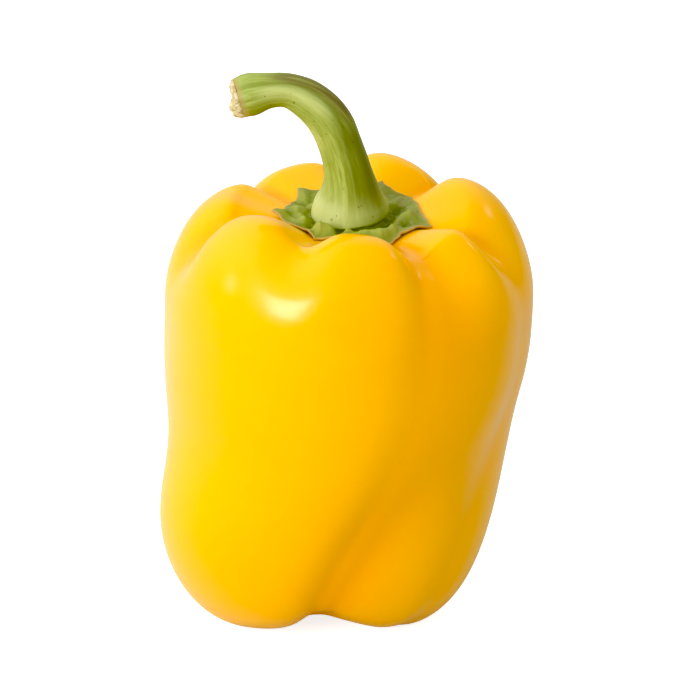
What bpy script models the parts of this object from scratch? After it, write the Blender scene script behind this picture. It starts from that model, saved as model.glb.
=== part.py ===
"""A yellow bell pepper that stands on its own four feet: the fruit, the leafy calyx in the dish at
its top, the hooked stalk, and the dry tissue at the stalk's cut end. Metres, +Z up, with the
origin on the surface that it stands on, under the middle of the object. The side with the long
crease faces -Y, and the stalk hooks over towards -X.
"""

import math

import bmesh
import bpy
import numpy as np
from mathutils import Vector
from mathutils.bvhtree import BVHTree

MM = 0.001
GAP = 0.3 * MM  # clearance between pieces that touch

# The plain body of the fruit, before its lobes
BODY_RADIUS = 42.5 * MM
FOOT_TAPER = 4.0 * MM  # how much slimmer the foot is than the shoulder
WIDEST_LEVEL = 72.0 * MM  # height of the widest part
SHOULDER_RISE = 35.7 * MM  # from the widest part to the crown, before the dish
SHOULDER_SQUARENESS = 2.9  # 2 is an ellipse, and more is blockier
FOOT_SQUARENESS = 3.6
DISH_DEPTH = 13.5 * MM
DISH_RADIUS = 20.0 * MM
DISH_STEEPNESS = 3.5  # how flat the dish's floor is, and how steep its wall
DENT_DEPTH = 12.0 * MM  # at the blossom end
DENT_RADIUS = 12.0 * MM
LEAN = 5.8 * MM  # the foot stands this far to -X of the shoulder
LEAN_SPAN = (85.0 * MM, 5.0 * MM)  # the heights between which the body leans
FEET_FLAT = 0.7 * MM  # what the resting weight flattens under the lowest foot
FRUIT_SEGMENTS = 84
FRUIT_RINGS = 46
RING_SHIFT = 20.0  # degrees that the rings move down at the widest part, to even them out

# The creases turn round the body on their way down, this much for each degree of latitude
TWIST_RATE = 0.48
TWIST_START = -12.0  # latitude
TWIST_ONSET = 20.0  # degrees over which the turn sets in

# The creases between lobes: angle at the shoulder and half width in degrees, then the depth in
# millimetres at the shoulder, at the side and at the foot
CREASES = (
    (345, 10, 5.0, 1.5, 1.0),
    (43, 11, 6.0, 2.5, 6.0),
    (95, 12, 6.0, 2.5, 6.0),
    (143, 11, 6.0, 1.0, 1.0),
    (192, 11, 6.5, 0.5, 6.0),
)
CREASE_WIDENING = (0.7, 1.2, 0.9)  # times the half width, at the shoulder, side and foot
CREASE_FADE = (8.0 * MM, 25.0 * MM)  # the creases set in between these radii from the axis

# The long front crease at each latitude: its angle, the half widths of its steep left flank and
# of its gentle right flank, in degrees, and its depth in millimetres
FRONT_CREASE = (
    (-75, 295.0, 9.0, 11.0, 4.5),
    (-55, 298.0, 9.0, 14.0, 4.0),
    (-40, 304.5, 10.0, 22.0, 3.0),
    (-20, 302.0, 12.0, 24.0, 2.2),
    (0, 301.5, 12.0, 22.0, 2.2),
    (20, 303.5, 11.0, 15.0, 3.6),
    (40, 304.0, 8.0, 10.0, 6.5),
    (60, 303.0, 7.0, 7.0, 7.0),
)
SOFTENING = (-9.0, -6.0, -3.0, 0.0, 3.0, 6.0, 9.0)  # latitudes over which its values run together

# Swellings of single lobes, and where they are negative flatter places, in the same measures
SWELLINGS = (
    (230, 35, 1.0, 0.0, 4.0),
    (195, 25, -1.0, -0.5, 0.5),
    (0, 35, 0.0, -0.3, 4.0),
    (315, 20, 0.0, 0.0, -1.5),
    (318, 13, -2.4, 0.0, 0.0),
    (352, 26, -3.6, 0.0, 0.0),
    (130, 45, -1.5, 0.0, 4.4),
    (52, 20, -2.5, 0.0, 5.8),
)

# Local dents, and where they are negative bumps: angle, half width, latitude and half height in
# degrees, and the depth in millimetres
DENTS = (
    (249, 12, 50, 17, 3.4),
    (178, 15, 62, 14, 1.5),
    (18, 20, 35, 20, -0.8),
    (95, 30, 45, 20, -0.8),
    (350, 30, -48, 14, 1.5),
    (235, 30, -50, 12, -0.9),
)

# The calyx: each tooth's angle in degrees and its reach from the axis in millimetres
TEETH = (
    (40, 15.6),
    (64, 15.2),
    (98, 15.0),
    (132, 16.4),
    (178, 16.0),
    (243, 16.1),
    (301, 16.1),
    (334, 18.4),
)
TOOTH_POINT = 1.0 * MM  # what the tooth's fine point adds
TOOTH_HALF_WIDTH = 5.0  # degrees
CALYX_THICKNESS = 1.5 * MM
CALYX_RIM = 0.8 * MM
RIM_ROUNDING = 0.3 * MM
CALYX_FOLD = 1.1 * MM  # height of the folds
CALYX_PUCKERS = 11  # small folds round the stalk's foot
CALYX_SPAN = 1.4 * MM  # the leaf bridges hollows narrower than twice this
SEAT_RADIUS = 9.3 * MM  # level middle that the stalk grows from
SEAT_THICKNESS = 1.6 * MM
CALYX_SEGMENTS = 80
CALYX_RINGS = 18
RIM_LATITUDE = 9.0  # degrees of the starting sphere that become the calyx's rim

# The stalk's middle line from its foot, in millimetres, with the radius there: the flared foot,
# the neck, the hook and the swollen end
STALK_LINE = (
    (0.0, 0.0, 0.0, 7.9),
    (0.0, 0.0, 1.3, 8.5),
    (0.0, -0.2, 3.2, 8.0),
    (-0.1, -0.5, 6.0, 6.5),
    (-0.5, -0.9, 9.5, 5.4),
    (-1.3, -1.2, 13.0, 4.9),
    (-2.6, -1.5, 17.6, 4.6),
    (-4.4, -1.9, 21.8, 4.5),
    (-6.8, -2.3, 25.4, 4.5),
    (-9.9, -2.7, 28.2, 4.4),
    (-13.6, -3.1, 29.8, 4.0),
    (-17.4, -3.5, 30.1, 4.1),
    (-21.2, -3.8, 29.7, 4.6),
    (-24.7, -4.1, 29.1, 4.3),
)
STALK_RIBS = 5
RIB_HEIGHT = 0.05  # share of the radius
STALK_SEGMENTS = 32
STALK_STEPS = 3  # between two points of the middle line

# The dry tissue at the cut
CUT_THICKNESS = 2.2 * MM
CUT_RADIUS = 3.8 * MM
CUT_SEGMENTS = 28
CUT_RINGS = 12

# Materials: linear base colour and roughness
SKIN_FINISH = ("pepper_skin", (0.95, 0.55, 0.01), 0.28)
CALYX_FINISH = ("calyx_leaf", (0.13, 0.25, 0.04), 0.6)
STALK_FINISH = ("stalk_skin", (0.28, 0.42, 0.08), 0.55)
CUT_FINISH = ("dry_tissue", (0.65, 0.52, 0.28), 0.9)


def periodic(degrees):
    """An angle brought to between -180 and 180 degrees."""
    return (degrees + 180.0) % 360.0 - 180.0


def ease(start, end, value):
    """0 at start and 1 at end, rising smoothly between them. end may be the lower one."""
    share = np.clip((value - start) / (end - start), 0.0, 1.0)
    return share**3 * (10.0 - 15.0 * share + 6.0 * share**2)


def around(radius, degrees):
    """x and y at a radius and an angle."""
    return radius * math.cos(math.radians(degrees)), radius * math.sin(math.radians(degrees))


def sphere_angles(vert):
    """The angle round Z and the latitude, in degrees, of a vertex of a unit sphere."""
    latitude = math.degrees(math.asin(max(-1.0, min(1.0, vert.co.z))))
    return math.degrees(math.atan2(vert.co.y, vert.co.x)), latitude


def add_finish(data, finish):
    """Gives a mesh or a curve its own material."""
    name, colour, roughness = finish
    material = bpy.data.materials.new(name)
    material.use_nodes = True
    shader = material.node_tree.nodes["Principled BSDF"]
    shader.inputs["Base Color"].default_value = (*colour, 1.0)
    shader.inputs["Roughness"].default_value = roughness
    data.materials.append(material)


def mesh_object(name, mesh, finish):
    """Makes the bmesh an object, shaded smooth, with its own material."""
    data = bpy.data.meshes.new(name)
    mesh.to_mesh(data)
    mesh.free()
    data.shade_smooth()
    data.set_sharp_from_angle(angle=math.radians(50.0))
    add_finish(data, finish)
    return bpy.data.objects.new(name, data)


# The fruit


def body_profile(latitude):
    """Radius and height of the plain body at a latitude in degrees, -90 at the blossom end."""
    radians = np.radians(latitude)
    across, up = np.cos(radians), np.sin(radians)
    upper = ease(-25.0, 25.0, latitude)
    power = FOOT_SQUARENESS + (SHOULDER_SQUARENESS - FOOT_SQUARENESS) * upper
    half_height = np.where(latitude > 0.0, SHOULDER_RISE, WIDEST_LEVEL)
    widest = BODY_RADIUS - FOOT_TAPER * ease(0.0, -60.0, latitude)
    reach = (np.abs(across / widest) ** power + np.abs(up / half_height) ** power) ** (-1.0 / power)
    radius, height = reach * across, reach * up + WIDEST_LEVEL
    dish = DISH_DEPTH * np.exp(-((np.abs(radius) / DISH_RADIUS) ** DISH_STEEPNESS))
    dish = dish * ease(0.0, 40.0, latitude)
    dent = DENT_DEPTH * np.exp(-((radius / DENT_RADIUS) ** 2)) * ease(0.0, -40.0, latitude)
    return radius, height - dish + dent


def crease_depth(angle, latitude):
    """How far the creases draw the skin in, at an angle as it is at the shoulder."""
    shoulder = ease(5.0, 45.0, latitude)
    foot = ease(-18.0, -58.0, latitude)
    side = 1.0 - shoulder - foot
    widening = CREASE_WIDENING[0] * shoulder + CREASE_WIDENING[1] * side + CREASE_WIDENING[2] * foot
    depth = 0.0
    for place, half_width, at_shoulder, at_side, at_foot in CREASES:
        valley = 1.0 / (1.0 + (periodic(angle - place) / (half_width * widening)) ** 2)
        depth = depth + valley * (at_shoulder * shoulder + at_side * side + at_foot * foot) * MM
    for place, half_width, at_shoulder, at_side, at_foot in SWELLINGS:
        swelling = np.exp(-((periodic(angle - place) / half_width) ** 2))
        depth = depth - swelling * (at_shoulder * shoulder + at_side * side + at_foot * foot) * MM
    for place, half_width, level, half_height, deepest in DENTS:
        off = (periodic(angle - place) / half_width) ** 2 + ((latitude - level) / half_height) ** 2
        depth = depth + deepest * MM * np.exp(-off)
    return depth + front_crease(angle, latitude)


def front_crease(angle, latitude):
    """How far the long front crease draws the skin in."""
    levels, *columns = zip(*FRONT_CREASE)
    place, left, right, deepest = (
        sum(np.interp(latitude + step, levels, column) for step in SOFTENING) / len(SOFTENING)
        for column in columns
    )
    off = periodic(angle - place)
    return deepest * MM / (1.0 + (off / np.where(off < 0.0, left, right)) ** 2)


def fruit_point(angle, latitude):
    """The skin at an angle and a latitude in degrees, as x, y and z."""
    step = 0.5
    radius, height = body_profile(latitude)
    ahead, behind = body_profile(latitude + step), body_profile(latitude - step)
    run, rise = ahead[0] - behind[0], ahead[1] - behind[1]
    length = np.hypot(run, rise)
    drawn_in = crease_depth(angle, latitude) * ease(*CREASE_FADE, radius)
    radius = radius - drawn_in * rise / length
    height = height + drawn_in * run / length
    below = TWIST_START - latitude
    turned = np.radians(angle - TWIST_RATE * (below + np.hypot(below, TWIST_ONSET)) / 2.0)
    shift = -LEAN * ease(*LEAN_SPAN, height)
    return radius * np.cos(turned) + shift, radius * np.sin(turned), height


def build_fruit():
    """One closed skin, from a sphere whose rings are spread evenly down the tall body."""
    mesh = bmesh.new()
    bmesh.ops.create_uvsphere(mesh, u_segments=FRUIT_SEGMENTS, v_segments=FRUIT_RINGS, radius=1.0)
    for vert in mesh.verts:
        angle, latitude = sphere_angles(vert)
        vert.co = fruit_point(angle, latitude - RING_SHIFT * math.cos(math.radians(latitude)) ** 2)
    level = min(vert.co.z for vert in mesh.verts) + FEET_FLAT
    for vert in mesh.verts:
        vert.co.z -= level
    bmesh.ops.bisect_plane(
        mesh,
        geom=mesh.verts[:] + mesh.edges[:] + mesh.faces[:],
        plane_co=(0.0, 0.0, 0.0),
        plane_no=(0.0, 0.0, -1.0),
        clear_outer=True,
    )
    bmesh.ops.holes_fill(mesh, edges=[edge for edge in mesh.edges if edge.is_boundary])
    return mesh_object("fruit", mesh, SKIN_FINISH)


# The calyx


def skin_below(tree, x, y):
    """Height of the highest skin within the calyx's span of a point."""
    places = [(x, y)]
    for turn in range(0, 360, 45):
        across, along = around(CALYX_SPAN, turn)
        places.append((x + across, y + along))
    above = 1.0
    return max(tree.ray_cast((*place, above), (0.0, 0.0, -1.0))[0].z for place in places)


def calyx_reach(angle):
    """Distance from the axis to the calyx's edge: straight between the teeth, each with a point."""
    places = [place for place, _ in TEETH]
    after = next((i for i, place in enumerate(places) if place > angle % 360.0), 0)
    (left, left_reach), (right, right_reach) = TEETH[after - 1], TEETH[after]
    gap = math.radians((right - left) % 360.0)
    turn = math.radians((angle - left) % 360.0)
    edge = left_reach * right_reach * math.sin(gap)
    edge /= left_reach * math.sin(turn) + right_reach * math.sin(gap - turn)
    nearest = min(abs(periodic(angle - place)) for place in places)
    return edge * MM + TOOTH_POINT * math.exp(-nearest / TOOTH_HALF_WIDTH)


def calyx_fold(angle, share):
    """Height of the folds at a share of the reach: a ridge to each tooth and small puckers."""
    nearest = min(abs(periodic(angle - place)) for place, _ in TEETH)
    ridge = math.exp(-((nearest / 7.0) ** 2)) * share
    pucker = (0.5 + 0.5 * math.sin(math.radians(CALYX_PUCKERS * angle + 40.0))) * (1.0 - share)
    return CALYX_FOLD * (0.6 * ridge + 1.2 * pucker)


def build_calyx(tree):
    """A thin leafy plate that lies on the skin, from a sphere pressed flat, and its seat's height."""
    rim = [skin_below(tree, *around(SEAT_RADIUS, turn)) for turn in range(0, 360, 10)]
    seat = max(rim) + GAP + SEAT_THICKNESS
    mesh = bmesh.new()
    bmesh.ops.create_uvsphere(mesh, u_segments=CALYX_SEGMENTS, v_segments=CALYX_RINGS, radius=1.0)
    for vert in mesh.verts:
        angle, latitude = sphere_angles(vert)
        share = min(1.0, (90.0 - abs(latitude)) / (90.0 - RIM_LATITUDE))
        radius = calyx_reach(angle) * share
        x, y = around(radius, angle)
        under = skin_below(tree, x, y) + 1.5 * GAP
        thickness = CALYX_THICKNESS + (CALYX_RIM - CALYX_THICKNESS) * float(ease(0.6, 1.0, share))
        leaf = under + thickness + calyx_fold(angle, share)
        top = seat + (leaf - seat) * float(ease(SEAT_RADIUS, SEAT_RADIUS + 3.0 * MM, radius))
        if abs(latitude) < RIM_LATITUDE / 2.0:
            x, y = around(radius + RIM_ROUNDING, angle)
            top = under = (top + under) / 2.0
        vert.co = (x, y, top if latitude > 0.0 else under)
    return mesh_object("calyx", mesh, CALYX_FINISH), seat


# The stalk and its cut end


def stalk_outline():
    """The ribbed outline of the stalk, a guide one millimetre in radius."""
    data = bpy.data.curves.new("stalk_outline", "CURVE")
    spline = data.splines.new("POLY")
    spline.use_cyclic_u = True
    spline.points.add(STALK_SEGMENTS - 1)
    for i, point in enumerate(spline.points):
        turn = -2.0 * math.pi * i / STALK_SEGMENTS
        ribs = math.cos(STALK_RIBS * turn) + 0.4 * math.cos(8.0 * turn + 0.9)
        radius = MM * (1.0 + RIB_HEIGHT * ribs)
        point.co = (radius * math.cos(turn), radius * math.sin(turn), 0.0, 1.0)
    guide = bpy.data.objects.new("stalk_outline", data)
    guide.hide_render = True
    guide.display_type = "WIRE"
    return guide


def build_stalk(outline):
    """A ribbed, flared and hooked stem: the outline drawn along a curve that widens at both ends."""
    data = bpy.data.curves.new("stalk", "CURVE")
    data.dimensions = "3D"
    data.resolution_u = STALK_STEPS
    data.bevel_mode = "OBJECT"
    data.bevel_object = outline
    data.use_fill_caps = True
    spline = data.splines.new("BEZIER")
    spline.radius_interpolation = "CARDINAL"
    spline.bezier_points.add(len(STALK_LINE) - 1)
    for point, (x, y, z, radius) in zip(spline.bezier_points, STALK_LINE):
        point.co = Vector((x, y, z)) * MM
        point.radius = radius
        point.handle_left_type = point.handle_right_type = "AUTO"
    add_finish(data, STALK_FINISH)
    return bpy.data.objects.new("stalk", data)


def build_cut_end():
    """The dry, uneven tissue on the end of the stalk, from a sphere pressed against it."""
    mesh = bmesh.new()
    bmesh.ops.create_uvsphere(mesh, u_segments=CUT_SEGMENTS, v_segments=CUT_RINGS, radius=1.0)
    for vert in mesh.verts:
        angle, latitude = sphere_angles(vert)
        spread = math.cos(math.radians(latitude)) ** 0.5
        turn = math.radians(angle)
        knobs = 0.25 * math.sin(3.0 * turn + 1.0) + 0.15 * math.sin(5.0 * turn)
        x, y = around(CUT_RADIUS * spread * (1.0 + 0.25 * knobs), angle)
        lift = CUT_THICKNESS * max(0.3 * spread**8, vert.co.z**0.7 if vert.co.z > 0.0 else 0.0)
        vert.co = (x, y, lift * (1.0 + knobs * spread))
        if latitude < -1.0:
            vert.co = (0.95 * x, 0.95 * y, 0.0)
    return mesh_object("cut_end", mesh, CUT_FINISH)


def centre(root, pieces):
    """Moves the root so that the origin lies under the middle of the pieces."""
    graph = bpy.context.evaluated_depsgraph_get()
    corners = []
    for piece in pieces:
        evaluated = piece.evaluated_get(graph)
        corners += [evaluated.matrix_world @ vert.co for vert in evaluated.to_mesh().vertices]
    for axis in range(2):
        places = [corner[axis] for corner in corners]
        root.location[axis] = -(min(places) + max(places)) / 2.0


def main():
    for old in list(bpy.data.objects):
        bpy.data.objects.remove(old)
    pepper = bpy.data.collections.new("bell_pepper")
    guides = bpy.data.collections.new("guides")
    for collection in (pepper, guides):
        bpy.context.scene.collection.children.link(collection)

    fruit = build_fruit()
    faces = [face.vertices for face in fruit.data.polygons]
    calyx, seat = build_calyx(BVHTree.FromPolygons([vert.co for vert in fruit.data.vertices], faces))
    outline = stalk_outline()
    stalk = build_stalk(outline)
    stalk.location.z = seat + GAP
    cut_end = build_cut_end()
    before_last, last = (Vector(point[:3]) * MM for point in STALK_LINE[-2:])
    along = (last - before_last).normalized()
    cut_end.location = stalk.location + last + along * GAP
    cut_end.rotation_euler = along.to_track_quat("Z", "Y").to_euler()

    root = bpy.data.objects.new("bell_pepper", None)
    pepper.objects.link(root)
    guides.objects.link(outline)
    pieces = [fruit, calyx, stalk, cut_end]
    for piece in pieces:
        pepper.objects.link(piece)
        piece.parent = root
    centre(root, pieces)


main()
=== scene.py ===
"""The looks of a yellow bell pepper on a white table: its waxy skin, the crinkled calyx, the ribbed
stalk and the dry tissue at the stalk's cut. Metres, +Z up, the long crease facing -Y.
"""

import math

import bpy
import numpy as np
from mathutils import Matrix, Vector, noise
from mathutils.bvhtree import BVHTree


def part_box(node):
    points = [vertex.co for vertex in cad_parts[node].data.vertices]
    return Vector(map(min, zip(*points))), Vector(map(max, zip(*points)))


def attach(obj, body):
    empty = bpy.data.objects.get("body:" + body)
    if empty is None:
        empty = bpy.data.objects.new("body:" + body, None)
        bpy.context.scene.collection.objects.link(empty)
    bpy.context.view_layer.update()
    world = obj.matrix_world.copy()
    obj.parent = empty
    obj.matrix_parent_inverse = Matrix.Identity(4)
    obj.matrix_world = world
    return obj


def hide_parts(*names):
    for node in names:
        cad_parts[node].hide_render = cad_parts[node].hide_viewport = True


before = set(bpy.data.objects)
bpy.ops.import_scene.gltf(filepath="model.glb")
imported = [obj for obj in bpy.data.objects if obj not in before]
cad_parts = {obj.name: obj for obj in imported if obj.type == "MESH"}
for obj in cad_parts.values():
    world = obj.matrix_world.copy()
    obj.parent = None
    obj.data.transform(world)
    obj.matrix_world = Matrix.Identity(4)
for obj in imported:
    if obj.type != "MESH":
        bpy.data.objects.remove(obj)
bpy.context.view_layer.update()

# The fruit: one thin-walled berry, grown in seven lobes at the shoulder that run together into
# four feet. Its skin is a tight, waxy film over crisp flesh, so it is smooth and softly glossy.
# It grew as one piece, and the calyx and the stalk grow from the dish at its top.

MM = 0.001
BODY_RADIUS = 42.5 * MM
FOOT_TAPER = 4.0 * MM  # how much slimmer the foot is than the shoulder
WIDEST_LEVEL = 72.0 * MM  # height of the widest part
SHOULDER_RISE = 35.7 * MM
SHOULDER_SQUARENESS = 2.9  # 2 is an ellipse, and more is blockier
FOOT_SQUARENESS = 3.6
DISH_DEPTH = 13.5 * MM
DISH_RADIUS = 20.0 * MM
DISH_STEEPNESS = 3.5
DENT_DEPTH = 12.0 * MM  # at the blossom end
DENT_RADIUS = 12.0 * MM
LEAN = 5.8 * MM
LEAN_SPAN = (85.0 * MM, 5.0 * MM)
FEET_FLAT = 0.7 * MM  # what the resting weight flattens under the lowest foot
SKIN_SEGMENTS = 300
SKIN_RINGS = 220
TWIST_RATE = 0.48  # degrees that the creases turn round the body for each degree on their way down
TWIST_START = -12.0  # latitude
TWIST_ONSET = 20.0  # degrees over which the twist sets in

# Latitudes between which the body changes from its side, at the first, to its shoulder or foot
SHOULDER_LEVELS = (5.0, 45.0)
FOOT_LEVELS = (-18.0, -58.0)
SQUARENESS_LEVELS = (-25.0, 25.0)
TAPER_LEVELS = (0.0, -60.0)
DISH_LEVELS = (0.0, 40.0)
BLOSSOM_LEVELS = (0.0, -40.0)
RING_SHIFT = 20.0  # degrees that the rings of the sphere move down, to spread over the long sides
PROFILE_STEP = 0.5  # degrees each way over which the body's slope is taken

# Creases keep their yellow up to the first depth, and at the shoulder up to both together. They
# are painted all orange, as painted shade, at the shade's depth below that. In millimetres
PLAIN_DEPTH = (0.8, 2.6)
CREASE_SHADE_DEPTH = 4.0

# Creases: angle at the shoulder and half width in degrees, then the depth in millimetres at the
# shoulder, at the side and at the foot
CREASES = (
    (345, 10, 5.0, 1.5, 1.0),
    (43, 11, 6.0, 2.5, 6.0),
    (95, 12, 6.0, 2.5, 6.0),
    (143, 11, 6.0, 1.0, 1.0),
    (192, 11, 6.5, 0.5, 6.0),
)
CREASE_WIDENING = (0.7, 1.2, 0.9)
CREASE_FADE = (8.0 * MM, 25.0 * MM)

# The long front crease at each latitude: its angle, the half widths of its steep left flank and
# of its gentle right flank, in degrees, and its depth in millimetres
FRONT_CREASE = (
    (-75, 295.0, 9.0, 11.0, 4.5),
    (-55, 298.0, 9.0, 14.0, 4.0),
    (-40, 304.5, 10.0, 22.0, 3.0),
    (-20, 302.0, 12.0, 24.0, 2.2),
    (0, 301.5, 12.0, 22.0, 2.2),
    (20, 303.5, 11.0, 15.0, 3.6),
    (40, 304.0, 8.0, 10.0, 6.5),
    (60, 303.0, 7.0, 7.0, 7.0),
)
CREASE_ROUNDING = 5.0  # degrees over which the bottom of the crease is rounded
SOFTENING = (-9.0, -6.0, -3.0, 0.0, 3.0, 6.0, 9.0)  # latitudes over which the values run together

# Local dents, and where they are negative bumps: angle, half width, latitude and half height in
# degrees, and depth in millimetres
DENTS = (
    (249, 12, 50, 17, 3.4),
    (178, 15, 62, 14, 1.5),
    (18, 20, 35, 20, -0.8),
    (95, 30, 45, 20, -0.8),
    (350, 30, -48, 14, 1.5),
    (235, 30, -50, 12, -0.9),
    (243, 12, 62, 11, 2.4),
    (167, 9, 56, 16, 1.1),
)

# Swellings of single lobes, in the same measures
SWELLINGS = (
    (230, 35, 1.0, 0.0, 4.0),
    (195, 25, -1.0, -0.5, 0.5),
    (0, 35, 0.0, -0.3, 4.0),
    (315, 20, 0.0, 0.0, -1.5),
    (318, 13, -2.4, 0.0, 0.0),
    (352, 26, -3.6, 0.0, 0.0),
    (130, 45, 0.0, 0.0, 4.4),
    (122, 34, -3.1, 0.0, 0.0),
    (52, 20, -2.5, 0.0, 5.8),
)


def periodic(degrees):
    """An angle brought to between -180 and 180 degrees."""
    return (degrees + 180.0) % 360.0 - 180.0


def ease(start, end, value):
    """0 at start and 1 at end, rising smoothly between them. end may be the lower one."""
    share = np.clip((value - start) / (end - start), 0.0, 1.0)
    return share**3 * (10.0 - 15.0 * share + 6.0 * share**2)


def read_points(mesh):
    """The mesh's points as an array with a row for each."""
    points = np.empty(len(mesh.vertices) * 3)
    mesh.vertices.foreach_get("co", points)
    return points.reshape(-1, 3)


def write_points(mesh, points):
    """Moves the mesh's points to the rows of an array."""
    mesh.vertices.foreach_set("co", np.ascontiguousarray(points, dtype=np.float32).ravel())
    mesh.update()


def add_attribute(mesh, name, values):
    """Keeps a number for each point of the mesh, for its material to read."""
    mesh.attributes.new(name, "FLOAT", "POINT").data.foreach_set("value", values.astype(np.float32))


def body_profile(latitude):
    """Radius and height of the plain body at a latitude in degrees, -90 at the blossom end."""
    radians = np.radians(latitude)
    across, up = np.cos(radians), np.sin(radians)
    upper = ease(*SQUARENESS_LEVELS, latitude)
    power = FOOT_SQUARENESS + (SHOULDER_SQUARENESS - FOOT_SQUARENESS) * upper
    half_height = np.where(latitude > 0.0, SHOULDER_RISE, WIDEST_LEVEL)
    widest = BODY_RADIUS - FOOT_TAPER * ease(*TAPER_LEVELS, latitude)
    reach = (np.abs(across / widest) ** power + np.abs(up / half_height) ** power) ** (-1.0 / power)
    radius, height = reach * across, reach * up + WIDEST_LEVEL
    dish = DISH_DEPTH * np.exp(-((np.abs(radius) / DISH_RADIUS) ** DISH_STEEPNESS))
    dish = dish * ease(*DISH_LEVELS, latitude)
    dent = DENT_DEPTH * np.exp(-((radius / DENT_RADIUS) ** 2)) * ease(*BLOSSOM_LEVELS, latitude)
    return radius, height - dish + dent


def skin_depth(angle, latitude):
    """How far the creases draw the skin in, and then how far the dents and swellings do. The angle
    is as it is at the shoulder, above the twist."""
    shoulder = ease(*SHOULDER_LEVELS, latitude)
    foot = ease(*FOOT_LEVELS, latitude)
    side = 1.0 - shoulder - foot
    widening = CREASE_WIDENING[0] * shoulder + CREASE_WIDENING[1] * side + CREASE_WIDENING[2] * foot
    depth = 0.0
    for place, half_width, at_shoulder, at_side, at_foot in CREASES:
        valley = 1.0 / (1.0 + (periodic(angle - place) / (half_width * widening)) ** 2)
        depth = depth + valley * (at_shoulder * shoulder + at_side * side + at_foot * foot) * MM
    dent = 0.0
    for place, half_width, at_shoulder, at_side, at_foot in SWELLINGS:
        swelling = np.exp(-((periodic(angle - place) / half_width) ** 2))
        dent = dent - swelling * (at_shoulder * shoulder + at_side * side + at_foot * foot) * MM
    for place, half_width, level, half_height, deepest in DENTS:
        off = (periodic(angle - place) / half_width) ** 2 + ((latitude - level) / half_height) ** 2
        dent = dent + deepest * MM * np.exp(-off)
    levels, *columns = zip(*FRONT_CREASE)
    place, left, right, deepest = (
        sum(np.interp(latitude + step, levels, column) for step in SOFTENING) / len(SOFTENING)
        for column in columns
    )
    off = periodic(angle - place)
    flank = np.where(off < 0.0, left, right)
    rounded = np.hypot(off, CREASE_ROUNDING) - CREASE_ROUNDING
    return depth + deepest * MM / (1.0 + (rounded / flank) ** 2), dent


bpy.ops.object.select_all(action="DESELECT")
bpy.ops.mesh.primitive_uv_sphere_add(segments=SKIN_SEGMENTS, ring_count=SKIN_RINGS, radius=1.0)
fruit = bpy.context.object
fruit.name = fruit.data.name = "fruit_skin"
sphere = read_points(fruit.data)
angle = np.degrees(np.arctan2(sphere[:, 1], sphere[:, 0]))
latitude = np.degrees(np.arcsin(np.clip(sphere[:, 2], -1.0, 1.0)))
latitude = latitude - RING_SHIFT * np.cos(np.radians(latitude)) ** 2
radius, height = body_profile(latitude)
ahead, behind = body_profile(latitude + PROFILE_STEP), body_profile(latitude - PROFILE_STEP)
run, rise = ahead[0] - behind[0], ahead[1] - behind[1]
length = np.hypot(run, rise)
creased, dented = skin_depth(angle, latitude)
drawn_in = (creased + dented) * ease(*CREASE_FADE, radius)
radius, height = radius - drawn_in * rise / length, height + drawn_in * run / length
below = TWIST_START - latitude
turned = np.radians(angle - TWIST_RATE * (below + np.hypot(below, TWIST_ONSET)) / 2.0)
shift = -LEAN * ease(*LEAN_SPAN, height)
skin = np.stack([radius * np.cos(turned) + shift, radius * np.sin(turned), height], axis=1)
low, high = (np.array(corner[:2]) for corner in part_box("fruit"))
axis = (low + high - skin[:, :2].min(axis=0) - skin[:, :2].max(axis=0)) / 2.0  # the stalk's place
skin[:, :2] += axis
skin[:, 2] -= skin[:, 2].min() + FEET_FLAT
write_points(fruit.data, skin)
# painted shade: how much of the creases' painted orange each point gets
plain = (PLAIN_DEPTH[0] + PLAIN_DEPTH[1] * ease(*SHOULDER_LEVELS, latitude)) * MM
add_attribute(fruit.data, "painted_crease_shade", np.clip((creased - plain) / (CREASE_SHADE_DEPTH * MM), 0.0, 1.0))

# The feet rest flat on the table. The cut's threshold is fine, or it would take in the next ring
bpy.ops.object.mode_set(mode="EDIT")
bpy.ops.mesh.select_all(action="SELECT")
bpy.ops.mesh.bisect(
    plane_co=(0, 0, 0),
    plane_no=(0, 0, -1),
    clear_outer=True,
    use_fill=True,
    threshold=0.001 * MM,
)
bpy.ops.object.mode_set(mode="OBJECT")
bpy.ops.object.shade_smooth_by_angle(angle=math.radians(40.0))  # keeps the rim of the flats


def linear(colour):
    """An sRGB hex colour as linear red, green and blue, with alpha."""
    shares = [int(colour[i : i + 2], 16) / 255.0 for i in (1, 3, 5)]
    return (*[s / 12.92 if s <= 0.04045 else ((s + 0.055) / 1.055) ** 2.4 for s in shares], 1.0)


def add_node(material, kind, inputs, **settings):
    """Adds a node. An input is a value, or an output of another node that is linked to it."""
    node = material.node_tree.nodes.new("ShaderNode" + kind)
    for name, value in settings.items():
        setattr(node, name, value)
    for name, value in inputs.items():
        if isinstance(value, bpy.types.NodeSocket):
            material.node_tree.links.new(value, node.inputs[name])
        else:
            node.inputs[name].default_value = value
    return node.outputs


def new_finish(name):
    """A new material and its surface shader."""
    material = bpy.data.materials.new(name)
    material.use_nodes = True
    return material, material.node_tree.nodes["Principled BSDF"]


def object_place(material):
    """Where a point of the piece is, in metres."""
    return add_node(material, "TexCoord", {})["Object"]


def attribute(material, name):
    """A number that add_attribute kept on the mesh."""
    return add_node(material, "Attribute", {}, attribute_name=name)["Fac"]


def cloud(material, place, scale, detail):
    """A cloudy pattern, with this many patches to the metre."""
    noise_inputs = {"Vector": place, "Scale": scale, "Detail": detail}
    return add_node(material, "TexNoise", noise_inputs)["Fac"]


def stretch(material, value, start, end, low=0.0, high=1.0):
    """A value that is low at start, high at end and in proportion between them."""
    return add_node(material, "MapRange", {0: value, 1: start, 2: end, 3: low, 4: high})[0]


def times(material, value, factor):
    """A value times a factor, which may be another value."""
    return add_node(material, "Math", {0: value, 1: factor}, operation="MULTIPLY")[0]


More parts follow.
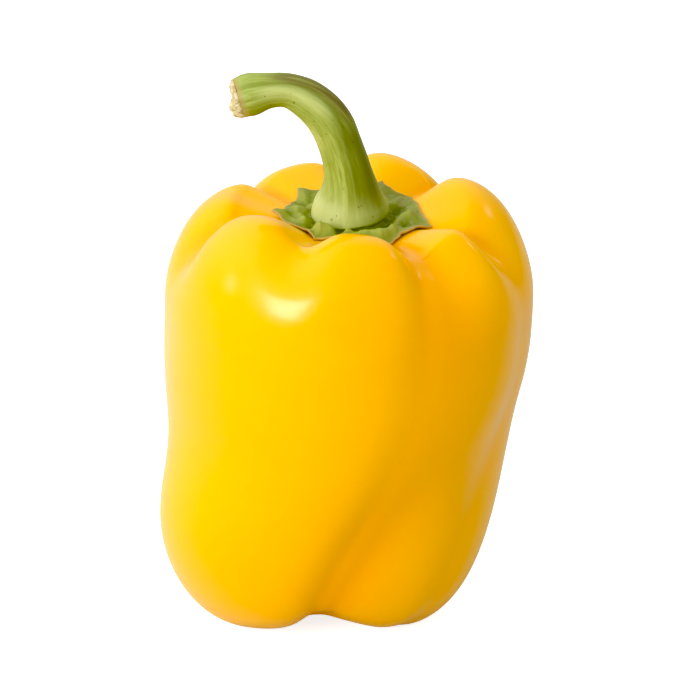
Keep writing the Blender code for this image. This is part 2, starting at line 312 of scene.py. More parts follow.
def tint(material, tone, share, colour):
    """The tone with a share of an sRGB colour mixed in."""
    return add_node(material, "Mix", {0: share, 6: tone, 7: linear(colour)}, data_type="RGBA")[2]


def coat_with(material, shader, tone, heights, depth):
    """Gives the surface its colour, and a relief that is this deep from 0 to 1 of the heights."""
    bump = {"Height": heights, "Strength": 1.0, "Distance": depth}
    relief = add_node(material, "Bump", bump)["Normal"]
    material.node_tree.links.new(tone, shader.inputs["Base Color"])
    material.node_tree.links.new(relief, shader.inputs["Normal"])


# Ripe pepper skin: a clear, waxy cuticle over yellow flesh. It gives the eye a deep, even yellow
# that glows from the light that sinks into the flesh, under broad, soft highlights with a faint
# unevenness. The creases are painted a little more orange, as painted shade.
skin_finish, shader = new_finish("waxy_pepper_skin")
place = object_place(skin_finish)
mottle = cloud(skin_finish, place, 45.0, 3.0)  # patches about 22 mm across
tone = tint(skin_finish, linear("#fdb500"), mottle, "#fbb000")
# painted shade: the creases painted a deeper orange, more so the deeper they are
painted_crease_shade = times(skin_finish, attribute(skin_finish, "painted_crease_shade"), 0.75)
tone = tint(skin_finish, tone, painted_crease_shade, "#f29600")
waves = cloud(skin_finish, place, 110.0, 1.0)  # swells about 9 mm across
coat_with(skin_finish, shader, tone, waves, 0.08 * MM)
shader.inputs["Subsurface Weight"].default_value = 0.3
shader.inputs["Subsurface Radius"].default_value = (1.0, 0.35, 0.05)  # red goes deepest
shader.inputs["Subsurface Scale"].default_value = 3.0 * MM
shader.inputs["Roughness"].default_value = 0.4
shader.inputs["Specular IOR Level"].default_value = 0.3
shader.inputs["IOR"].default_value = 1.4
shader.inputs["Coat Weight"].default_value = 0.65
shader.inputs["Coat Roughness"].default_value = 0.2
shader.inputs["Coat IOR"].default_value = 1.45
fruit.data.materials.append(skin_finish)
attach(fruit, "root")
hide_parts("fruit")

# The calyx: the leafy star that once held the flower. It is one crinkled leaf, about a millimetre
# thick, that grows from the dish and lies on the skin. Eight teeth end in the creases between the
# lobes, some with their tips curled up, and its edge has dried to a thin tan line.

TEETH = (
    (43, 17.2, 0.2),
    (64, 15.6, 0.9),
    (98, 14.8, 0.2),
    (132, 16.6, 0.8),
    (184, 16.0, 1.5),
    (243, 16.4, -0.2),
    (299, 15.9, -0.2),
    (345, 17.8, 0.2),
)  # each tooth's angle in degrees, its reach from the axis and the curl of its tip in millimetres
TOOTH_POINT = 0.9 * MM
TOOTH_HALF_WIDTH = 4.0  # degrees
LEAF_THICKNESS = 1.1 * MM
RIM_THICKNESS = 0.6 * MM
RIM_ROUNDING = 0.25 * MM
RIM_LATITUDE = 8.0  # degrees of the starting sphere that become the rim
LEAF_SEGMENTS = 360
LEAF_RINGS = 120
BED_STEP = 0.5 * MM  # between the places where the skin under the leaf is felt
BED_REACH = 48  # steps
LEAF_SPAN = 1  # steps: the leaf bridges hollows narrower than twice this
LEAF_GAP = 0.1 * MM  # between the leaf and the skin
LEAF_LEAST = 0.5 * MM  # thickness that the leaf has everywhere
SEAT = (6.6 * MM, 9.2 * MM)  # the leaf leaves the stalk's foot between these radii
SEAT_DEPTH = 0.35 * MM  # how far the leaf lies below the stalk's foot
CURL_HALF_WIDTH = 9.0  # degrees
EDGE_WANDER = 0.5 * MM  # how far the edge strays in and out between the teeth
FOLD_SCALE = 1.25  # every fold is this many times as high as its row below says
FOLD_HOLLOW = 0.8  # share of a fold's height by which its underside rises too
CRINKLE = 0.65 * MM  # height of the small puckers
CRINKLE_SIZE = 2.6 * MM
CRINKLE_START = (7.5 * MM, 9.5 * MM)  # they set in between these radii
RELIEF_RANGE = 3.0 * MM  # of the folds and puckers, from the deepest hollow to the highest crest

# The folds, and where they are negative the hollows: from x, y to x, y from the stalk's axis, half
# width and height, in millimetres
FOLDS = (
    (-9.2, -12.4, -7.4, -12.0, 1.6, 0.9),
    (-6.2, -11.6, -3.8, -11.2, 2.2, 1.9),
    (-0.2, -9.4, -1.1, -13.6, 1.1, 1.2),
    (2.8, -12.2, 4.8, -12.0, 1.8, 1.3),
    (7.4, -11.4, 9.8, -10.0, 1.7, 1.8),
    (10.4, -9.6, 15.0, -7.6, 1.9, 1.0),
    (8.8, -4.0, 13.0, -1.4, 1.6, 1.2),
    (13.0, -1.4, 14.0, 2.6, 1.7, 0.5),
    (6.6, 6.0, 6.8, 12.0, 1.6, 1.1),
    (9.4, 6.0, 11.6, 9.4, 1.6, 0.8),
    (-15.0, -1.4, -10.5, -4.0, 1.7, 0.9),
    (-12.0, 2.4, -10.0, -5.0, 1.4, 0.8),
    (-10.8, 10.0, -8.4, 5.4, 1.5, 0.8),
    (-14.0, 4.6, -10.0, 2.8, 1.4, 0.6),
    (0.0, 9.0, 0.6, 14.0, 1.8, 0.9),
    (-5.0, 8.6, -6.2, 12.6, 1.6, 0.8),
    (-9.2, -8.8, -8.2, -6.8, 1.4, -0.8),
    (-2.6, -9.4, -2.6, -11.8, 1.2, -1.4),
    (8.8, -1.8, 7.6, -6.8, 1.3, -1.7),
    (11.0, -6.2, 13.0, -4.6, 1.2, -1.5),
    (9.8, 2.2, 10.8, 3.6, 1.2, -1.0),
    (-10.0, 6.8, -9.4, 7.6, 1.4, -0.7),
    (-12.6, -1.6, -11.2, -3.2, 1.0, -0.6),
)

skin_faces = [face.vertices for face in fruit.data.polygons]
skin_tree = BVHTree.FromPolygons([vert.co for vert in fruit.data.vertices], skin_faces)
places = np.arange(-BED_REACH, BED_REACH + 1) * BED_STEP
felt = [
    [skin_tree.ray_cast((axis[0] + x, axis[1] + y, 1.0), (0.0, 0.0, -1.0))[0].z for x in places]
    for y in places
]
bed = np.array(felt)
for up in range(-LEAF_SPAN, LEAF_SPAN + 1):
    for across in range(-LEAF_SPAN, LEAF_SPAN + 1):
        if math.hypot(up, across) <= LEAF_SPAN:
            bed = np.maximum(bed, np.roll(felt, (up, across), axis=(0, 1)))
for _ in range(2):
    bed = sum(np.roll(bed, step, side) for side in (0, 1) for step in (-1, 1)) / 4.0


def bed_level(x, y):
    """Height of what the leaf lies on, at places from the stalk's axis."""
    column, row = x / BED_STEP + BED_REACH, y / BED_STEP + BED_REACH
    left, low = column.astype(int), row.astype(int)
    across, up = column - left, row - low
    near = bed[low, left] * (1.0 - across) + bed[low, left + 1] * across
    far = bed[low + 1, left] * (1.0 - across) + bed[low + 1, left + 1] * across
    return near * (1.0 - up) + far * up


def leaf_reach(angle):
    """Distance from the axis to the leaf's edge: straight between the teeth, each with a point."""
    reach = np.zeros_like(angle)
    for (left, left_reach, _), (right, right_reach, _) in zip(TEETH, TEETH[1:] + TEETH[:1]):
        gap = math.radians((right - left) % 360.0)
        turn = np.radians((angle - left) % 360.0)
        across = left_reach * np.sin(turn) + right_reach * np.sin(gap - turn)
        edge = left_reach * right_reach * math.sin(gap) / np.where(turn <= gap, across, 1.0)
        reach = np.where(turn <= gap, edge * MM, reach)
    return reach


def leaf_folds(x, y):
    """Height of the folds at places from the stalk's axis."""
    height = np.zeros_like(x)
    for x_from, y_from, x_to, y_to, half_width, rise in FOLDS:
        run_x, run_y = (x_to - x_from) * MM, (y_to - y_from) * MM
        off_x, off_y = x - x_from * MM, y - y_from * MM
        share = np.clip((off_x * run_x + off_y * run_y) / (run_x**2 + run_y**2), 0.0, 1.0)
        off = np.hypot(off_x - share * run_x, off_y - share * run_y) / (half_width * MM)
        height += FOLD_SCALE * rise * MM * np.exp(-(off**1.7))
    return height


bpy.ops.object.select_all(action="DESELECT")
bpy.ops.mesh.primitive_uv_sphere_add(segments=LEAF_SEGMENTS, ring_count=LEAF_RINGS, radius=1.0)
calyx = bpy.context.object
calyx.name = calyx.data.name = "calyx_leaf"
sphere = read_points(calyx.data)
angle = np.degrees(np.arctan2(sphere[:, 1], sphere[:, 0]))
latitude = np.degrees(np.arcsin(np.clip(sphere[:, 2], -1.0, 1.0)))
share = np.clip((90.0 - np.abs(latitude)) / (90.0 - RIM_LATITUDE), 0.0, 1.0)
reach = leaf_reach(angle)
curl = np.zeros_like(angle)
for place, _, rise in TEETH:
    off = np.abs(periodic(angle - place))
    reach += TOOTH_POINT * np.exp(-off / TOOTH_HALF_WIDTH)
    curl += rise * MM * np.exp(-((off / CURL_HALF_WIDTH) ** 2)) * ease(0.7, 1.0, share)
turn = np.radians(angle)
wander = [noise.noise((10.0 * math.cos(t), 10.0 * math.sin(t), 3.0)) for t in turn]
reach += np.array(wander) * EDGE_WANDER
radius = reach * share
x, y = radius * np.cos(turn), radius * np.sin(turn)
relief = leaf_folds(x, y)
puckers = [
    abs(noise.noise((a / CRINKLE_SIZE, b / CRINKLE_SIZE, 0.5)))
    + 0.35 * abs(noise.noise((2.3 * a / CRINKLE_SIZE, 2.3 * b / CRINKLE_SIZE, 4.5)))
    for a, b in zip(x, y)
]
relief += CRINKLE * (np.array(puckers) - 0.3) * ease(*CRINKLE_START, radius)
relief *= 1.0 - 0.8 * ease(0.8, 1.0, share)  # the leaf lies flatter at its edge
under = bed_level(x, y) + LEAF_GAP + curl
thickness = LEAF_THICKNESS + (RIM_THICKNESS - LEAF_THICKNESS) * ease(0.6, 1.0, share)
leaf = np.maximum(under + LEAF_LEAST, under + thickness + relief)
under += FOLD_HOLLOW * np.maximum(leaf - under - thickness, 0.0)
stalk_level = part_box("stalk")[0][2]
seat = stalk_level - SEAT_DEPTH
leaf = seat + (leaf - seat) * ease(*SEAT, radius)
under = np.minimum(under, leaf - LEAF_LEAST)
middle, half = (leaf + under) / 2.0, (leaf - under) / 2.0
bend = np.clip(latitude / RIM_LATITUDE, -1.0, 1.0) * math.pi / 2.0
rounded = radius + RIM_ROUNDING * np.cos(bend)
x, y = rounded * np.cos(turn), rounded * np.sin(turn)
write_points(calyx.data, np.stack([x + axis[0], y + axis[1], middle + half * np.sin(bend)], axis=1))
add_attribute(calyx.data, "rim", ease(0.93, 1.0, share) * ease(14.0, 2.0, latitude))
add_attribute(calyx.data, "relief", np.clip(0.5 + relief / RELIEF_RANGE, 0.0, 1.0))
# towards +X: partly drying, partly painted shade on the side away from the light
add_attribute(calyx.data, "dryness_and_shade", ease(0.0, 11.0 * MM, x * 0.9 + y * 0.3))  # towards +X
bpy.ops.object.shade_smooth()

# Calyx leaf: matt green. Each fold's crest is painted a paler, yellower green, as painted light,
# and its hollows a deeper green, as painted shade. It starts to dry from its edge, which is tan,
# and towards +X, where it has small tan flecks and is duller, partly from drying and partly as
# painted shade on the side away from the light.
leaf_finish, shader = new_finish("crinkled_calyx_leaf")
place = object_place(leaf_finish)
mottle = stretch(leaf_finish, cloud(leaf_finish, place, 320.0, 4.0), 0.35, 0.65)  # about 3 mm
tone = tint(leaf_finish, linear("#707d38"), mottle, "#848e46")
# painted light on the crests of the folds and painted shade in their hollows, by their height
height = attribute(leaf_finish, "relief")
tone = tint(leaf_finish, tone, stretch(leaf_finish, height, 0.5, 1.0, 0.0, 0.7), "#a2aa58")
tone = tint(leaf_finish, tone, stretch(leaf_finish, height, 0.52, 0.24, 0.0, 0.95), "#3f5620")
# duller and darker towards +X: partly drying, partly painted shade away from the light
dry_and_shaded = attribute(leaf_finish, "dryness_and_shade")
tone = tint(leaf_finish, tone, times(leaf_finish, dry_and_shaded, 0.2), "#5c6236")
flecks = stretch(leaf_finish, cloud(leaf_finish, place, 900.0, 3.0), 0.5, 0.66)  # about 1 mm
tone = tint(leaf_finish, tone, times(leaf_finish, flecks, dry_and_shaded), "#8a865c")
tone = tint(leaf_finish, tone, attribute(leaf_finish, "rim"), "#bd9c68")
pores = cloud(leaf_finish, place, 1400.0, 2.0)  # about 0.7 mm apart
coat_with(leaf_finish, shader, tone, pores, 0.1 * MM)
shader.inputs["Roughness"].default_value = 0.55
shader.inputs["IOR"].default_value = 1.4
calyx.data.materials.append(leaf_finish)
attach(calyx, "root")
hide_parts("calyx")

# The stalk: the stem that the pepper hung from, one firm rod of green, fibrous flesh with ribs
# along it. It flares to a rounded lip where it stands on the calyx, hooks over to -X, swells a
# little before the cut, and is scuffed brown on the outside of its bend.

# The middle line from its foot, in millimetres, with the radius there
STALK_LINE = (
    (0.0, 0.0, -1.2, 7.6),
    (0.0, 0.0, 0.3, 8.6),
    (0.0, -0.2, 2.6, 8.1),
    (0.0, -0.5, 5.6, 6.7),
    (-0.3, -0.9, 9.3, 5.6),
    (-1.0, -1.2, 13.0, 5.1),
    (-2.4, -1.5, 17.6, 4.8),
    (-4.1, -1.9, 21.8, 4.8),
    (-6.6, -2.3, 25.4, 4.65),
    (-9.9, -2.7, 28.3, 4.3),
    (-13.6, -3.1, 30.1, 3.8),
    (-17.4, -3.5, 30.3, 3.9),
    (-21.3, -3.8, 29.6, 4.65),
    (-24.1, -4.1, 28.8, 4.35),
)
STALK_SEGMENTS = 216
STALK_RINGS = 280
END_RINGS = 14  # rings that close each end
LIP_TILT = 0.07  # the lip rises this much for each millimetre towards +X

# Ribs, and where they are negative grooves: angle round the stalk, from +X at its foot, and half
# width in degrees, then the height as a share of the radius
RIBS = (
    (204, 20, 0.035),
    (266, 16, 0.05),
    (330, 20, 0.05),
    (48, 24, 0.05),
    (122, 26, 0.05),
    (231, 5, -0.022),
    (249, 4, -0.012),
    (292, 12, -0.05),
    (10, 14, -0.04),
    (85, 16, -0.045),
    (165, 12, -0.03),
)

RIB_SHARPNESS = 1.7  # 2 is a rounded rib, and less is more pointed
RIB_TWIST = 30.0  # degrees that the ribs wind round the stalk from its neck to the hook
TWIST_SPAN = (12.0 * MM, 36.0 * MM)
NECK = (3.0 * MM, 10.0 * MM)  # the ribs rise between these distances from the foot
WAVE_HEIGHT = 0.025  # of the long, low waves and of the strands, as a share of the radius
STRAND_HEIGHT = 0.003
GRAIN_RADIUS = 5.0 * MM
GRAIN_SHARE = 0.11  # the width of a streak, as a share of its length

stations = np.arange(len(STALK_LINE), dtype=float)
line = np.array(STALK_LINE)
fine = np.linspace(0.0, stations[-1], 60 * (len(STALK_LINE) - 1) + 1)


def through_points(values):
    """A smooth curve through the values, one for each point of the stalk's line."""
    slopes = np.gradient(values)
    whole = np.minimum(fine.astype(int), len(values) - 2)
    part = fine - whole
    start, end = values[whole], values[whole + 1]
    leave, arrive = slopes[whole], slopes[whole + 1]
    bulge = leave * (1.0 - part) * (1.0 - part) * part - arrive * part * part * (1.0 - part)
    return start + (end - start) * part * part * (3.0 - 2.0 * part) + bulge


path = np.stack([through_points(line[:, column]) for column in range(4)], axis=1) * MM
travel = np.concatenate([[0.0], np.cumsum(np.linalg.norm(np.diff(path[:, :3], axis=0), axis=1))])
along = np.gradient(path[:, :3], axis=0)
along /= np.linalg.norm(along, axis=1)[:, None]
along[0] = (0.0, 0.0, 1.0)
outward = np.zeros_like(along)
outward[0] = (1.0, 0.0, 0.0)
for i in range(1, len(along)):  # carried along the line without turning round it
    carried = outward[i - 1] - along[i] * outward[i - 1].dot(along[i])
    outward[i] = carried / np.linalg.norm(carried)
sideways = np.cross(along, outward)

bpy.ops.object.select_all(action="DESELECT")
bpy.ops.mesh.primitive_uv_sphere_add(segments=STALK_SEGMENTS, ring_count=STALK_RINGS, radius=1.0)
stalk = bpy.context.object
stalk.name = stalk.data.name = "stalk_skin"
sphere = read_points(stalk.data)
angle = np.degrees(np.arctan2(sphere[:, 1], sphere[:, 0])) % 360.0
latitude = np.degrees(np.arcsin(np.clip(sphere[:, 2], -1.0, 1.0)))
ring = (latitude + 90.0) / 180.0 * STALK_RINGS
inner = np.clip((ring - END_RINGS) / (STALK_RINGS - 2.0 * END_RINGS), 0.0, 1.0)
way = inner * travel[-1]
closing = np.minimum(np.minimum(ring, STALK_RINGS - ring) / END_RINGS, 1.0)
closing = np.sin(closing * math.pi / 2.0) ** 0.5
middle = np.stack([np.interp(way, travel, path[:, i]) for i in range(3)], axis=1)
thick = np.interp(way, travel, path[:, 3])
out = np.stack([np.interp(way, travel, outward[:, i]) for i in range(3)], axis=1)
side = np.stack([np.interp(way, travel, sideways[:, i]) for i in range(3)], axis=1)
neck = ease(*NECK, way)
ribs = np.zeros_like(angle)
wound = angle - RIB_TWIST * ease(*TWIST_SPAN, way)
for place, half_width, rise in RIBS:
    ribs += rise * np.exp(-(np.abs(periodic(wound - place) / half_width) ** RIB_SHARPNESS))
ribs *= 0.2 + 0.8 * neck
spread = np.cos(np.radians(angle)), np.sin(np.radians(angle))
waves = [
    noise.noise((2.0 * a, 2.0 * b, w / (9.0 * MM)))
    + 0.4 * noise.noise((5.0 * a, 5.0 * b, w / (14.0 * MM) + 7.0))
    for a, b, w in zip(*spread, way)
]
strands = [noise.noise((22.0 * a, 22.0 * b, w / (5.0 * MM) + 3.0)) for a, b, w in zip(*spread, way)]
strands = np.array(strands)
unevenness = ribs + WAVE_HEIGHT * np.array(waves) + STRAND_HEIGHT * strands
thick = thick * closing * (1.0 + unevenness)
points = middle + thick[:, None] * (out * spread[0][:, None] + side * spread[1][:, None])
points[:, 2] += LIP_TILT * points[:, 0] * ease(6.0 * MM, 0.5 * MM, way)
points += (axis[0], axis[1], stalk_level)
write_points(stalk.data, points)
grain = np.stack([GRAIN_RADIUS * share for share in spread] + [way * GRAIN_SHARE], axis=1)
stalk.data.attributes.new("grain", "FLOAT_VECTOR", "POINT").data.foreach_set(
    "vector", grain.astype(np.float32).ravel()
)


def stripe(middle, half_width, *fades):
    """1 along one side of the stalk, at an angle and half width in degrees, and 0 past its fades,
    which are in millimetres from the foot."""
    share = np.exp(-((periodic(angle - middle) / half_width) ** 2))
    for start, end in fades:
        share = share * ease(start * MM, end * MM, way)
    return share


# painted light: a paler strip on the front of the hook's bend and on the inside of the bend
painted_bow_light = stripe(293.0, 20.0, (24.0, 32.0), (46.0, 40.0))
painted_bow_light = painted_bow_light + 0.8 * stripe(210.0, 28.0, (15.0, 24.0), (33.0, 26.0))
# partly paler tissue at the flare, partly painted light: strongest towards -X, the lit side
foot = ease(11.0 * MM, 2.0 * MM, way) * (1.0 - 0.6 * spread[0]) / 1.6
# painted shade: how much darker each groove is painted
painted_groove_shade = np.clip(0.5 - ribs / 0.14 - 0.04 * strands, 0.0, 1.0)
add_attribute(stalk.data, "painted_groove_shade", painted_groove_shade)
add_attribute(stalk.data, "foot", foot)
# painted shade on the flank towards +X and -Y, away from the light
add_attribute(stalk.data, "painted_flank_shade", stripe(324.0, 36.0, (30.0, 18.0)) * (0.45 + 0.55 * neck))
# painted shade and a painted golden reflection of the fruit, under the hook
add_attribute(stalk.data, "painted_underside_shade", stripe(224.0, 36.0, (32.0, 40.0)))
add_attribute(stalk.data, "painted_bow_light", painted_bow_light)
add_attribute(stalk.data, "scuff", stripe(346.0, 26.0, (20.0, 27.0), (44.0, 36.0)))
add_attribute(stalk.data, "cut", ease(travel[-1] - 1.8 * MM, travel[-1], way))
bpy.ops.object.shade_smooth()

# Where the stalk's skin is tinted, how strong that is and its colour: the foot, whose tissue is
# paler at the flare and also painted lighter on its lit side, as painted light; painted shade
# on the flank towards +X and -Y; painted shade and a painted golden reflection of the fruit
# under the hook; and painted light on the front and the inside of its bend
SIDE_TONES = (
    ("foot", 0.9, "#c9cd8c"),
    ("painted_flank_shade", 0.95, "#5f6638"),
    ("painted_underside_shade", 0.75, "#6f7028"),
    ("painted_bow_light", 0.65, "#c8ce88"),
)

# Stalk skin: smooth green plant skin over long fibres. It gives the eye a light yellowish green
# with fine pale and dark streaks along the stalk, grooves painted darker as painted shade, a faint
# satin sheen, a few dark specks and a brown, corky scuff.
stalk_finish, shader = new_finish("fibrous_stalk_skin")
fibres = add_node(stalk_finish, "Attribute", {}, attribute_name="grain")["Vector"]
place = object_place(stalk_finish)
streaks = cloud(stalk_finish, fibres, 1700.0, 5.0)  # about 0.6 mm wide and 5 mm long
streaks = stretch(stalk_finish, streaks, 0.33, 0.67)
tone = tint(stalk_finish, linear("#869647"), streaks, "#abb869")
patches = cloud(stalk_finish, place, 160.0, 2.0)  # about 6 mm across
patches = stretch(stalk_finish, patches, 0.45, 0.7, 0.0, 0.5)
tone = tint(stalk_finish, tone, patches, "#86944a")
# painted shade in the grooves
painted_groove_shade = stretch(stalk_finish, attribute(stalk_finish, "painted_groove_shade"), 0.5, 0.95, 0.0, 0.9)
tone = tint(stalk_finish, tone, painted_groove_shade, "#64762c")
for name, strength, colour in SIDE_TONES:
    share = times(stalk_finish, attribute(stalk_finish, name), strength)
    tone = tint(stalk_finish, tone, share, colour)
specks = cloud(stalk_finish, place, 1100.0, 1.0)  # about 1 mm apart, of which few are dark
specks = stretch(stalk_finish, specks, 0.71, 0.79, 0.0, 0.6)
tone = tint(stalk_finish, tone, specks, "#4e4a28")
cork = cloud(stalk_finish, fibres, 700.0, 4.0)  # about 1.5 mm wide and 13 mm long
cork = stretch(stalk_finish, cork, 0.42, 0.54, 0.45, 1.0)
cork = times(stalk_finish, cork, attribute(stalk_finish, "scuff"))
tone = tint(stalk_finish, tone, cork, "#64563e")
tone = tint(stalk_finish, tone, attribute(stalk_finish, "cut"), "#a8965e")
coat_with(stalk_finish, shader, tone, streaks, 0.05 * MM)
shader.inputs["Roughness"].default_value = 0.5
shader.inputs["IOR"].default_value = 1.4
stalk.data.materials.append(stalk_finish)
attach(stalk, "root")
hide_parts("stalk")

# The cut end: where the stalk was cut, its fibres have dried to a pale, ragged crust that bulges
# out below and curls over the edge of the skin. It is part of the stalk's flesh, left by the knife.

CUT_RADIUS = 4.3 * MM
CRUST_THICKNESS = 0.8 * MM
CRUST_LEAST = 0.3 * MM
CRUST_GAP = 0.05 * MM  # between the crust and the stalk's end
CRUMB_HEIGHT = 0.7 * MM
RAGGEDNESS = 0.07  # of the crust's outline, as a share of its radius
RIBS_AT_CUT = 0.6  # share of the ribs' height that the outline shows
CRUST_SEGMENTS = 160
CRUST_RINGS = 90

# The lumps, and where they are negative the tears: from the middle of the cut upwards and towards
# +Y, half width and height, in millimetres
LUMPS = (
    (-1.0, -1.2, 1.9, 1.7),
    (-3.2, -0.8, 1.2, 1.0),
    (-2.4, 2.2, 1.4, 0.8),
    (1.2, 2.2, 1.5, 0.6),
    (2.4, -1.0, 1.3, 0.15),
    (-2.3, -1.4, 0.35, -0.5),
    (0.9, -0.6, 0.4, -0.4),
)

bpy.ops.object.select_all(action="DESELECT")
bpy.ops.mesh.primitive_uv_sphere_add(segments=CRUST_SEGMENTS, ring_count=CRUST_RINGS, radius=1.0)
cut_end = bpy.context.object
cut_end.name = cut_end.data.name = "cut_tissue"
sphere = read_points(cut_end.data)
angle = np.degrees(np.arctan2(sphere[:, 1], sphere[:, 0])) % 360.0
latitude = np.degrees(np.arcsin(np.clip(sphere[:, 2], -1.0, 1.0)))
reach = np.clip((90.0 - np.abs(latitude)) / 84.0, 0.0, 1.0)
turn = np.radians(angle)
outline = np.ones_like(angle)
for place, half_width, rise in RIBS:
    off = np.abs(periodic(angle - RIB_TWIST - place) / half_width)
    outline += RIBS_AT_CUT * rise * np.exp(-(off**RIB_SHARPNESS))
ragged = [
    noise.noise((2.6 * math.cos(t), 2.6 * math.sin(t), 5.0))
    + 0.5 * noise.noise((7.0 * math.cos(t), 7.0 * math.sin(t), 9.0))
    for t in turn
]
outline += RAGGEDNESS * np.array(ragged)
top = reach * np.cos(turn) * CUT_RADIUS * outline
right = reach * np.sin(turn) * CUT_RADIUS * outline
lumps = [
    abs(noise.noise((a / (1.6 * MM), b / (2.2 * MM), 1.0)))
    + 0.5 * abs(noise.noise((a / (0.7 * MM), b / (0.9 * MM), 6.0)))
    for a, b in zip(top, right)
]
lumps = np.array(lumps)
lift = CRUST_THICKNESS * np.sqrt(1.0 - 0.8 * reach**6) + CRUMB_HEIGHT * (lumps - 0.25)
for high, beside, half_width, rise in LUMPS:
    off = np.hypot(top - high * MM, right - beside * MM) / (half_width * MM)
    lift += rise * MM * np.exp(-(off**2.2))
lift = np.maximum(lift, CRUST_LEAST) * ease(-6.0, 6.0, latitude)
last, ahead, up, beside = (values[-1] for values in (path[:, :3], along, outward, sideways))
points = last + lift[:, None] * ahead + top[:, None] * up + right[:, None] * beside
points += ahead * CRUST_GAP + (axis[0], axis[1], stalk_level)
write_points(cut_end.data, points)
add_attribute(cut_end.data, "lump", np.clip(lumps, 0.0, 1.0))
bpy.ops.object.shade_smooth()

# Dry stalk tissue: torn, corky fibre, cream, and a darker brown in the dips between its lumps. It
# is quite matt, with crumbs and fibres of a few tenths of a millimetre.
tissue_finish, shader = new_finish("dry_stalk_tissue")
crumbs = cloud(tissue_finish, object_place(tissue_finish), 900.0, 4.0)  # about 1 mm across
crumbs = stretch(tissue_finish, crumbs, 0.42, 0.66)
tone = tint(tissue_finish, linear("#d2c59c"), crumbs, "#b29c6c")
# darker brown in the dips between the lumps
darker_in_dips = stretch(tissue_finish, attribute(tissue_finish, "lump"), 0.12, 0.03, 0.0, 0.75)
tone = tint(tissue_finish, tone, darker_in_dips, "#86683c")
coat_with(tissue_finish, shader, tone, crumbs, 0.15 * MM)
shader.inputs["Roughness"].default_value = 0.9
cut_end.data.materials.append(tissue_finish)
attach(cut_end, "root")
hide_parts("cut_end")

# The table and the light: white paper in a white room, as for a product photograph, with a tall
# softbox at the front left, the light of a window from the left, and a small spot behind at the
# right. The paper is a little darker at the right, so that less light comes back from it there.

PAPER_GRADING = (-0.06, 0.1)  # places on X, in metres, between which it darkens
PAPER_GLOW = 0.8  # the paper's own light, for the camera alone, so that it is pure white there

bpy.ops.object.select_all(action="DESELECT")
bpy.ops.mesh.primitive_plane_add(size=6.0, location=(0.0, 0.0, 0.0))
table = bpy.context.object
table.name = "table_top"
table_finish, shader = new_finish("white_matt_paper")
across = add_node(table_finish, "SeparateXYZ", {0: object_place(table_finish)})["X"]
shade = stretch(table_finish, across, *PAPER_GRADING)
paper = tint(table_finish, linear("#e2e2e2"), shade, "#bcbcbc")
table_finish.node_tree.links.new(paper, shader.inputs["Base Color"])
shader.inputs["Roughness"].default_value = 0.8
shader.inputs["Emission Color"].default_value = (1.0, 1.0, 1.0, 1.0)
seen = add_node(table_finish, "LightPath", {})["Is Camera Ray"]
brighter = times(table_finish, seen, PAPER_GLOW)
table_finish.node_tree.links.new(brighter, shader.inputs["Emission Strength"])
table.data.materials.append(table_finish)

MIDDLE = Vector((0.0, 0.0, 0.065))
LIGHT_DISTANCE = 1.2


def add_light(name, azimuth, elevation, width, height, power):
    """A soft light that faces the pepper from a little over a metre away. Angles are in degrees,
    the azimuth from +X, sizes in metres and power in watts."""
    bpy.ops.object.light_add(type="AREA")
    light = bpy.context.object
    light.name = name
    turn, rise = math.radians(azimuth), math.radians(elevation)
    aim = Vector((math.cos(turn) * math.cos(rise), math.sin(turn) * math.cos(rise), math.sin(rise)))
    light.location = MIDDLE + aim * LIGHT_DISTANCE
    light.rotation_euler = aim.to_track_quat("Z", "Y").to_euler()
    light.data.shape = "RECTANGLE"
    light.data.size, light.data.size_y = width, height
    light.data.energy = power
    return light


add_light("tall_softbox", -129.0, 24.0, 0.29, 0.44, 6.4)
add_light("window", -172.0, 17.0, 0.2, 0.26, 0.7)
add_light("back_spot", 39.0, 30.0, 0.1, 0.1, 0.2)

world = bpy.data.worlds.new("white_room")
world.use_nodes = True
direction = add_node(world, "TexCoord", {})["Generated"]


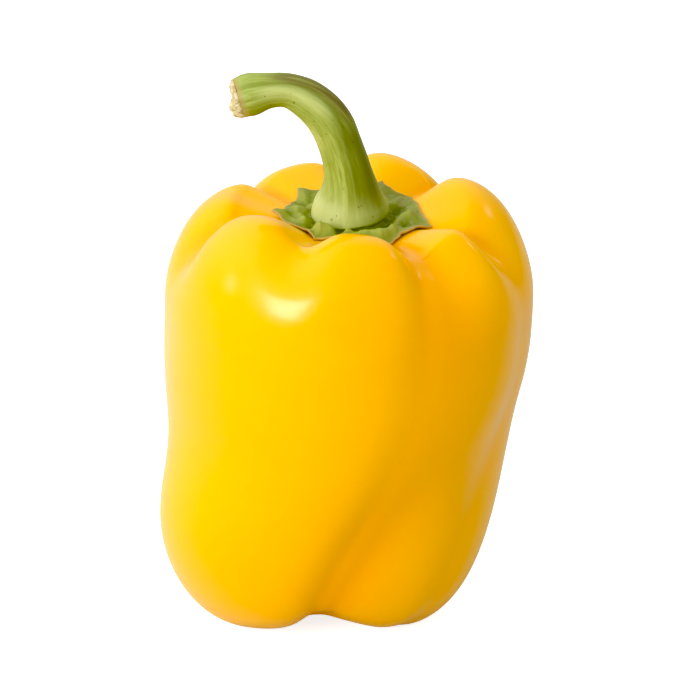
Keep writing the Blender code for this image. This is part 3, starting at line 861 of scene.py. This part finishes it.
def add_glow(azimuth, elevation, spread, strength):
    """The light of a white wall or ceiling, which fades out at spread degrees from its middle."""
    turn, rise = math.radians(azimuth), math.radians(elevation)
    aim = (math.cos(turn) * math.cos(rise), math.sin(turn) * math.cos(rise), math.sin(rise))
    facing = add_node(world, "VectorMath", {0: direction, 1: aim}, operation="DOT_PRODUCT")["Value"]
    return add_node(
        world,
        "MapRange",
        {0: facing, 1: math.cos(math.radians(spread)), 2: 1.0, 3: 0.0, 4: strength},
        interpolation_type="SMOOTHSTEP",
    )[0]


ROOM_GLOW = 0.15  # from all round

# Azimuth, elevation, spread and strength of the glows of the room
GLOWS = (
    (0.0, 90.0, 90.0, 0.5),  # the ceiling
    (-170.0, 20.0, 78.0, 0.42),  # the wall at the left
    (112.0, 36.0, 72.0, 0.75),  # the wall behind
    (-120.0, 72.0, 45.0, 0.25),  # the ceiling above the softbox
    (-152.0, 27.0, 57.0, 0.53),  # the screen between the softbox and the window
    (-18.0, 8.0, 78.0, 0.5),  # the wall at the right
)
glow = ROOM_GLOW
for values in GLOWS:
    glow = add_node(world, "Math", {0: add_glow(*values), 1: glow}, operation="ADD")[0]
seen = add_node(world, "LightPath", {})["Is Camera Ray"]
glow = add_node(world, "Mix", {0: seen, 2: glow, 3: 1.0})[0]
world.node_tree.links.new(glow, world.node_tree.nodes["Background"].inputs["Strength"])
world.node_tree.nodes["Background"].inputs["Color"].default_value = (1.0, 1.0, 1.0, 1.0)
bpy.context.scene.world = world
view = bpy.context.scene.view_settings
view.view_transform = "Standard"
view.use_curve_mapping = True
view.curve_mapping.black_level = (0.0, 0.0, 0.06)  # a full yellow has no blue at all
view.curve_mapping.update()

# The camera stands 0.8 m away, 25 degrees above the level of the pepper's middle, with a long lens
CAMERA_PLACE = Vector((0.00103, -0.71807, 0.40000))
CAMERA_TARGET = Vector((0.00103, 0.00097, 0.06350))
bpy.ops.object.camera_add(location=CAMERA_PLACE)
camera = bpy.context.object
camera.rotation_euler = (CAMERA_TARGET - CAMERA_PLACE).to_track_quat("-Z", "Y").to_euler()
camera.data.sensor_width = 36.0
camera.data.lens = 181.0
camera.data.clip_start = 0.01
bpy.context.scene.camera = camera
